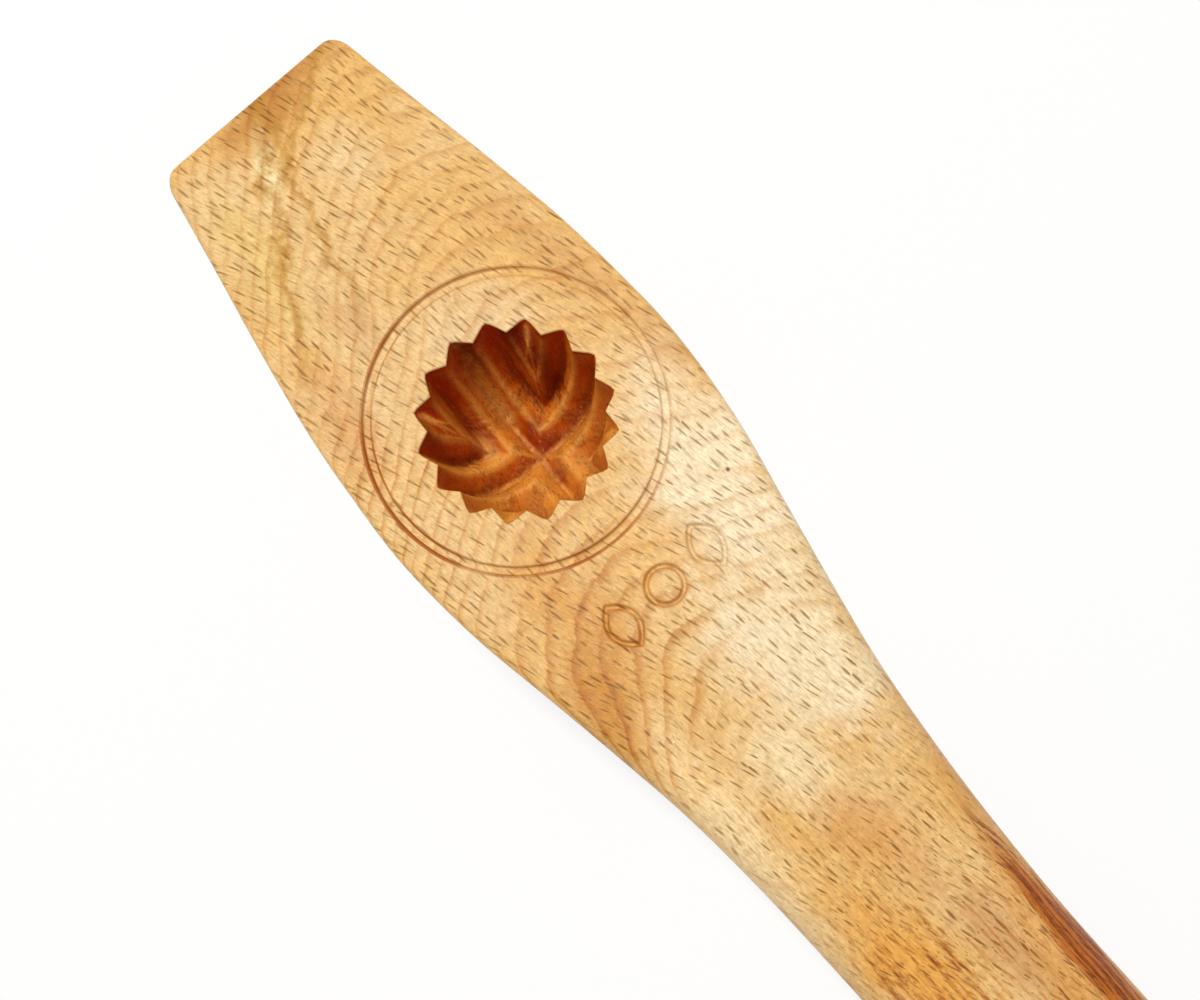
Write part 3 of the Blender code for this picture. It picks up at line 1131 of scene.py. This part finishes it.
        clear = [
            add("MapRange", nodes.from_spot(self.place, *spot), 0.65, 1.15, kept, 1.0, **SMOOTH)
            for *spot, kept in self.clearings
        ]
        return nodes.product(line, good_year, in_neck, off_grip, fading, left, *clear)

    def mineral_streak(self, colour: Feed) -> Feed:
        """Lays the wavy olive lines that wander over the blade's tip on a colour."""
        nodes = self.nodes
        wander = nodes.pattern(self.place, 0.13, 3.0, 0.6)
        brushed = nodes.pattern(self.place, 0.7, 3.0, 0.65)
        sway = nodes.total(-5.5, (self.y, 1.0), (wander, 11.0), (brushed, 2.4), (self.under, 1.5))
        brushed = nodes.add("MapRange", brushed, 0.35, 0.6, 0.45, 1.0)
        for slope, rise, half_width, most, start, full in self.mineral_lines:
            line = nodes.band(sway, nodes.total(rise, (self.x, slope)), half_width, 0.0, most)
            begun = nodes.add("MapRange", self.x, start, full, **SMOOTH)
            colour = nodes.stain(colour, self.mineral, line, begun, brushed)
        return colour

    def heartwood(self, colour: Feed) -> Feed:
        """Lays the streaked brown heartwood that enters at the grip's -Y edge on a colour."""
        nodes, x, y = self.nodes, self.x, self.y
        add = nodes.add
        lie = add("CombineXYZ", x, self.across, self.z)
        grain = nodes.pattern(lie, 1.0, 4.0, 0.65, stretch=(0.06, 1.6, 0.35))
        inside = nodes.total(-23.5, (x, -0.24), (y, -1.0), (grain, 5.0))
        inside = add("MapRange", inside, -2.0, 2.0, 0.0, 0.6, **SMOOTH)
        colour = nodes.stain(colour, self.heart_pale, inside)
        gap = add("Math", nodes.total(-self.core_y - 2.75, (y, 1.0), (grain, 5.5)), operation="ABSOLUTE")
        width = add("MapRange", x, -28.0, -62.0, 0.6, 3.0)
        share = add("Math", gap, width, operation="DIVIDE")
        core = add("MapRange", share, 1.15, 0.7, 0.0, 0.9, **SMOOTH)
        begun = add("MapRange", x, -30.0, -50.0, **SMOOTH)
        colour = nodes.stain(colour, self.core, core, begun)
        strand = nodes.total(grain, (add("MapRange", share, 1.4, 0.3, 0.0, 0.17), 1.0))
        strand = add("MapRange", strand, 0.60, 0.67, 0.0, 0.85, **SMOOTH)
        begun = add("MapRange", x, -26.0, -40.0, **SMOOTH)
        near_face = add("MapRange", self.z, 12.0, 21.0, 0.3, 1.0)
        return nodes.stain(colour, self.heart_dark, strand, begun, inside, near_face, 1.6)

    def veins(self) -> Feed:
        """Adds the broken dark veins of the grip, as 1 on a vein."""
        nodes = self.nodes
        lie = nodes.add("CombineXYZ", self.x, self.across, 7.0)
        stretch = (0.10, 0.5, 1.0)
        sway = nodes.pattern(lie, 1.0, 4.0, 0.6, stretch=stretch)
        broken = nodes.pattern(lie, 4.5, 3.0, 0.7, stretch=stretch, spread=(0.42, 0.56, 0.1, 1.0))
        sway = nodes.total(-2.5, (self.y, 1.0), (sway, 5.0))
        veins = 0.0
        for middle in self.veins_y:
            veins = nodes.add("Math", nodes.band(sway, middle, 0.75, 0.10), veins, operation="MAXIMUM")
        on_grip = nodes.add("MapRange", self.x, -26.0, -46.0, **SMOOTH)
        return nodes.product(veins, broken, on_grip)

    def flecks(self) -> tuple[Feed, Feed]:
        """Adds the ray flecks.

        Returns:
            Where they lie, and how strongly they show: least where a steep side cuts the rays lengthwise.
        """
        nodes, x = self.nodes, self.x
        across = self.across_grain(*self.ray_lean)
        large, small = (flecks.shade(nodes, x, across) for flecks in (self.large_flecks, self.small_flecks))
        shown = nodes.add("MapRange", x, 0.0, -45.0, 0.5, 0.9, **SMOOTH)
        fleck = nodes.add("Math", large, nodes.product(small, shown), operation="MAXIMUM")
        patchy = nodes.pattern(self.place, 0.16, 2.0, spread=(0.3, 0.7, 0.62, 0.90))
        facing = nodes.add("SeparateXYZ", nodes.add("NewGeometry").outputs["Normal"]).outputs[2]
        facing = nodes.add("Math", facing, operation="ABSOLUTE")
        facing = nodes.add("MapRange", facing, 0.35, 0.92, 0.32, 1.0)
        return fleck, nodes.product(fleck, patchy, facing)

    def colour_and_height(self) -> tuple[Feed, Feed]:
        """Adds the whole figure.

        Returns:
            The wood's colour, and its height in shares of the flecks' depth.
        """
        nodes, place, lie = self.nodes, self.place, self.lie
        cloud = nodes.pattern(place, 0.045, 3.0, 0.55, spread=(0.35, 0.75, 0.0, 0.5), **SMOOTH)
        colour = nodes.stain(linear(self.honey), self.pale, cloud)
        colour = nodes.lay_patches(colour, place, self.tone_and_light_patches, 0.12)
        colour = self.mineral_streak(colour)
        colour = nodes.stain(colour, self.late_wood, self.rings(), 0.85, blend="MULTIPLY")
        streak = nodes.pattern(lie, 1.0, 4.0, 0.65, stretch=(0.11, 1.9, 0.9), spread=(0.48, 0.70), **SMOOTH)
        on_grip = nodes.add("MapRange", self.x, 10.0, -60.0, 0.16, 1.0, **SMOOTH)
        colour = nodes.stain(colour, self.tan, streak, on_grip, blend="MULTIPLY")
        colour = nodes.stain(colour, self.vein, self.veins(), 0.85)
        colour = self.heartwood(colour)
        shimmer = nodes.pattern(place, 0.75, 2.0, 0.6, spread=(0.3, 0.7, 0.88, 1.08))
        colour = nodes.add("VectorMath", colour, Scale=shimmer, operation="SCALE")
        # The fine pores between the flecks, drawn out along the fibres
        pores = nodes.pattern(lie, 1.0, 3.0, 0.65, stretch=(0.8, 3.4, 3.0), spread=(0.42, 0.66))
        colour = nodes.stain(colour, self.pore, pores, 0.36)
        fleck, amount = self.flecks()
        colour = nodes.stain(colour, self.fleck, amount, blend="MULTIPLY")
        grit = nodes.pattern(place, 2.4, 3.0, 0.65)
        return colour, nodes.total(grit, (fleck, -1.0), (pores, -1.0))


@dataclass(frozen=True)
class SandedBeech:
    """Flat-sawn European beech, sanded and wiped with kitchen oil: warm, half glossy, a little uneven."""

    paddle: MoldPaddle
    # Oiled wood: the pores stay matt and the rays shine, so the gloss varies
    roughness: tuple[float, float] = (0.34, 0.52)
    ior: float = 1.46
    specular: float = 0.3
    fleck_depth: float = 0.03 * MM
    scorch_and_shade: str = "#A65600"
    line_width: float = 0.85

    def engraved_lines(self, nodes: Nodes, place: Feed, colour: Feed) -> Feed:
        """Darkens the ring's two edges and the ornament's strokes with a scorch tone and painted shade.

        Args:
            nodes: the material's nodes.
            place: the place in millimetres.
            colour: the wood's colour.

        Returns:
            The colour with the lines.
        """
        add = nodes.add
        half, middle = self.paddle.ring.width / 2 / MM, self.paddle.ring.radius / MM
        centre = (self.paddle.cavity_x / MM, 0.0, self.paddle.blank.face / MM)
        arm = add("VectorMath", place, centre, operation="SUBTRACT")
        radius = add("VectorMath", arm, operation="LENGTH")
        uneven = nodes.pattern(place, 0.10, 2.0, spread=(0.32, 0.62, 0.45, 1.1))
        # Painted shade in the grooves' edges, stronger towards +Y
        side = add("MapRange", add("SeparateXYZ", arm).outputs[1], -middle, middle, 0.32, 1.25)
        inner = (middle - half, self.line_width * 0.7, 0.75)
        outer = (middle + half, self.line_width, 1.0)
        for edge, width, most in (inner, outer):
            line = nodes.band(radius, edge, width / 2, width / 5, most)
            colour = nodes.stain(colour, self.scorch_and_shade, line, uneven, side)
        engraved = add("Attribute", attribute_name="engraved").outputs["Fac"]
        return nodes.stain(colour, self.scorch_and_shade, engraved, uneven, side, 0.5)

    def material(self) -> bpy.types.Material:
        """Builds the material."""
        material, nodes = new_material("sanded_oiled_beech")
        grain = BeechGrain(self.paddle, nodes)
        colour, height = grain.colour_and_height()
        colour = self.engraved_lines(nodes, grain.place, colour)
        gloss = nodes.pattern(grain.place, 0.5, 3.0, spread=(0.3, 0.7, *self.roughness))
        nodes.finish(colour, gloss, self.ior, self.specular, height, self.fleck_depth)
        return material


@dataclass(frozen=True)
class CarvedBeech:
    """Beech that the cutter opened: it drank the oil and turned orange; its tones paint light and shade."""

    paddle: MoldPaddle
    body: str = "#DC8322"
    blotched: str = "#C45A0C"
    painted_light: str = "#EAA040"
    shaded_wall_high: str = "#C4560E"
    shaded_wall_low: str = "#BC540C"
    rim_shade: str = "#AC1E00"
    crease_shade: str = "#862000"
    rubbed: str = "#E29A48"
    fleck: str = "#5A1F06"
    # The open fibres soak up the oil unevenly, so the gloss varies with them
    roughness: tuple[float, float] = (0.28, 0.48)
    ior: float = 1.47
    specular: float = 0.25
    fibre_depth: float = 0.45 * MM
    tone_and_light_patches: tuple[ColourPatch, ...] = (
        # Painted light and shade at spots in the cavity: the dark red patches paint shade, most of them
        # under the rim on the tip side, and the light ones paint walls lit by the key
        ColourPatch(75.4, -1.6, 3.4, 1.9, 0, "#660600", 0.92),
        ColourPatch(72.6, -8.4, 3, 1.8, 0, "#700C00", 0.85),
        ColourPatch(75, 4.8, 3, 1.8, 0, "#9A2A04", 0.45),
        ColourPatch(67.8, -9.9, 3.4, 2, 0, "#740E00", 0.80),
        ColourPatch(69.3, 12.4, 3, 2, 0, "#7A1000", 0.70),
        ColourPatch(63.5, -2, 3.8, 3, 0, "#8E1A00", 0.70),
        ColourPatch(55.7, -1, 2.8, 1.8, 0, "#8A1C00", 0.55),
        ColourPatch(71, -0.2, 4.4, 1.9, 0, "#EAA044", 0.80),
        ColourPatch(66, 6, 3.4, 1.7, 0, "#E8AA58", 0.65),
        ColourPatch(54.8, -4.8, 3.4, 2.4, 0, "#E29C48", 0.55),
        ColourPatch(54, 6.2, 3, 2.2, 0, "#DE9440", 0.50),
    )

    def material(self) -> bpy.types.Material:
        """Builds the material, whose tones follow the attributes that MoldPaddle.carve leaves."""
        material, nodes = new_material("carved_oiled_beech")
        add, place = nodes.add, nodes.place()
        crease, valley, torn, painted_light, tip_wall_shade, sunk = (
            add("Attribute", attribute_name=name).outputs["Fac"]
            for name in ("crease", "valley", "torn", "painted_light", "tip_wall_shade", "sunk")
        )
        x = add("SeparateXYZ", place).outputs[0]
        middle = self.paddle.cavity_x / MM
        blot = nodes.pattern(place, 0.45, 4.0, 0.65)
        ragged = nodes.total(-0.6, (blot, 1.2))
        colour = nodes.stain(linear(self.blotched), self.body, add("MapRange", blot, 0.35, 0.65, **SMOOTH))
        painted_light = nodes.total(painted_light, (ragged, 0.35))
        tip_wall_shade = nodes.total(ragged, (tip_wall_shade, 1.0))
        # Painted shade for walls that face away from the key light: a darker red, a little darker again
        # towards the floor
        low = add("MapRange", sunk, 0.45, 0.95, **SMOOTH)
        shaded_wall_tone = nodes.stain(linear(self.shaded_wall_high), self.shaded_wall_low, low)
        for source, start, end, most, tone in (
            # Painted shade on the walls that face away from the key light, painted light on those that face
            # it
            (painted_light, 0.05, -0.50, 0.92, shaded_wall_tone),
            (painted_light, 0.00, 0.50, 0.45, self.painted_light),
            # Painted shade under the rim on the tip-side wall
            (tip_wall_shade, 0.25, 0.80, 0.84, self.rim_shade),
            # Painted shade in the creases, painted light on the crests
            (valley, 0.05, 0.90, 0.65, self.crease_shade),
            (valley, -0.10, -0.90, 0.65, self.painted_light),
            # Painted light on the grip side of the bowl, whose walls face the key light
            (x, middle + 2.0, middle - 4.0, 0.30, self.painted_light),
        ):
            colour = nodes.stain(colour, tone, add("MapRange", source, start, end, 0.0, most))
        colour = nodes.lay_patches(colour, place, self.tone_and_light_patches, 0.45)
        # Painted highlight along the crests and burr lines, broken into patches
        highlight_patches = nodes.pattern(place, 1.3, 4.0, 0.75, spread=(0.38, 0.62, 0.1, 1.0))
        crest = add("MapRange", crease, -0.10, -0.8, 0.0, 0.75)
        colour = nodes.stain(colour, self.rubbed, crest, highlight_patches)
        fibre = nodes.pattern(place, 1.0, 5.0, 0.7, stretch=(0.8, 2.8, 1.4))
        colour = nodes.stain(colour, self.fleck, add("MapRange", fibre, 0.48, 0.30, **SMOOTH), 0.75)
        # Painted glints: light specks on the fibres, more where they are torn
        light = add("MapRange", fibre, 0.55, 0.70, **SMOOTH)
        colour = nodes.stain(colour, self.rubbed, light, nodes.total(0.25, (torn, 0.5)))
        gloss = add("MapRange", fibre, 0.3, 0.7, *self.roughness)
        height = nodes.product(fibre, nodes.total(0.25, (torn, 0.8)))
        nodes.finish(colour, gloss, self.ior, self.specular, height, self.fibre_depth)
        return material


@dataclass(frozen=True)
class Studio:
    """The pale table, the soft light from the picture's top and the camera straight above the face."""

    paddle: MoldPaddle
    picture: tuple[int, int] = (1200, 1000)
    pixels_per_metre: float = 6456.0
    cavity_pixel: tuple[float, float] = (516.1, 421.0)
    below_lens_pixel: tuple[float, float] = (727.0, 749.0)
    grip_direction: tuple[float, float] = (0.647, 0.763)
    camera_height: float = 130.0 * MM
    sensor: float = 36.0
    table_half: float = 2.0
    key_watts: float = 15.9
    key_size: float = 0.34
    key_distance: float = 1.4
    key_elevation: float = math.radians(73)
    key_swing: float = math.radians(34)
    sky_strength: float = 0.36
    paper: str = "#F2F1EF"
    paper_roughness: float = 0.9
    white_share: float = 0.75

    def picture_axes(self) -> tuple[Vector, Vector]:
        """The directions on the face that run right and up in the picture."""
        across, down = self.grip_direction
        return Vector((-across, -down, 0.0)).normalized(), Vector((down, -across, 0.0)).normalized()

    def camera(self) -> None:
        """Places the camera, whose shift keeps the face undistorted off the lens's axis."""
        right, up = self.picture_axes()
        (px, py), (cx, cy) = self.below_lens_pixel, self.cavity_pixel
        width, height = self.picture
        data = bpy.data.cameras.new("camera")
        data.sensor_fit = "HORIZONTAL"
        data.sensor_width = self.sensor
        data.lens = self.sensor * self.camera_height * self.pixels_per_metre / width
        data.shift_x = -(px - width / 2) / width
        data.shift_y = (py - height / 2) / width
        data.clip_start = self.camera_height / 20
        place = Vector((self.paddle.cavity_x, 0.0, self.paddle.blank.face + self.camera_height))
        place += right * (px - cx) / self.pixels_per_metre - up * (py - cy) / self.pixels_per_metre
        thing = new_object(data)
        axes = Matrix((right, up, right.cross(up))).transposed()
        thing.matrix_world = Matrix.Translation(place) @ axes.to_4x4()
        bpy.context.scene.camera = thing

    def table(self) -> None:
        """Lays a pale table under the mold, which shows white to the eye and keeps the shadow."""
        half = self.table_half
        points = half * np.array(((-1, -1, 0), (1, -1, 0), (1, 1, 0), (-1, 1, 0)))
        thing = new_mesh("table", points, [(0, 1, 2, 3)])
        material, nodes = new_material("white_paper")
        paper = nodes.tree.nodes["Principled BSDF"]
        nodes.feed(paper, "Base Color", linear(self.paper))
        nodes.feed(paper, "Roughness", self.paper_roughness)
        seen = nodes.add("LightPath").outputs
        direct = nodes.add("Math", seen["Is Camera Ray"], seen["Is Glossy Ray"], operation="MAXIMUM")
        white = nodes.add("Emission", WHITE, 1.0)
        mix = nodes.add("MixShader", nodes.product(direct, self.white_share), paper, white)
        nodes.feed(nodes.tree.nodes["Material Output"], "Surface", mix)
        thing.data.materials.append(material)

    def lights(self) -> None:
        """Sets the sky and one large soft lamp."""
        world = bpy.data.worlds.new("soft_sky")
        bpy.context.scene.world = world
        world.use_nodes = True
        nodes = Nodes(world.node_tree)
        sky = nodes.tree.nodes["Background"]
        nodes.feed(sky, "Color", WHITE)
        nodes.feed(sky, "Strength", self.sky_strength)
        white = nodes.add("Background", WHITE, 1.0)
        mix = nodes.add("MixShader", nodes.add("LightPath").outputs["Is Camera Ray"], sky, white)
        nodes.feed(nodes.tree.nodes["World Output"], "Surface", mix)
        right, up = self.picture_axes()
        side = up * math.cos(self.key_swing) - right * math.sin(self.key_swing)
        target = Vector((self.paddle.cavity_x / 2, 0.0, self.paddle.blank.face))
        lean, rise = math.cos(self.key_elevation), math.sin(self.key_elevation)
        data = bpy.data.lights.new("key", "AREA")
        data.shape = "DISK"
        data.size = self.key_size
        data.energy = self.key_watts
        thing = new_object(data)
        thing.location = target + (side * lean + Vector((0.0, 0.0, rise))) * self.key_distance
        thing.rotation_mode = "QUATERNION"
        thing.rotation_quaternion = (target - thing.location).to_track_quat("-Z", "Y")

    def build(self) -> None:
        """Builds the studio and sets how colours are shown."""
        self.camera()
        self.table()
        self.lights()
        bpy.context.scene.view_settings.view_transform = "Standard"
        LOG.info("studio: camera %.0f mm above the face", self.camera_height / MM)


def main() -> None:
    """Builds the mold and its studio."""
    logging.basicConfig(level=logging.INFO, format="%(name)s: %(message)s")
    low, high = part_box(NODE)
    paddle = MoldPaddle(Blank(low, high), Cavity(), EngravedRing(), Ornament())
    paddle.build()
    Studio(paddle).build()


if __name__ == "__main__":
    main()
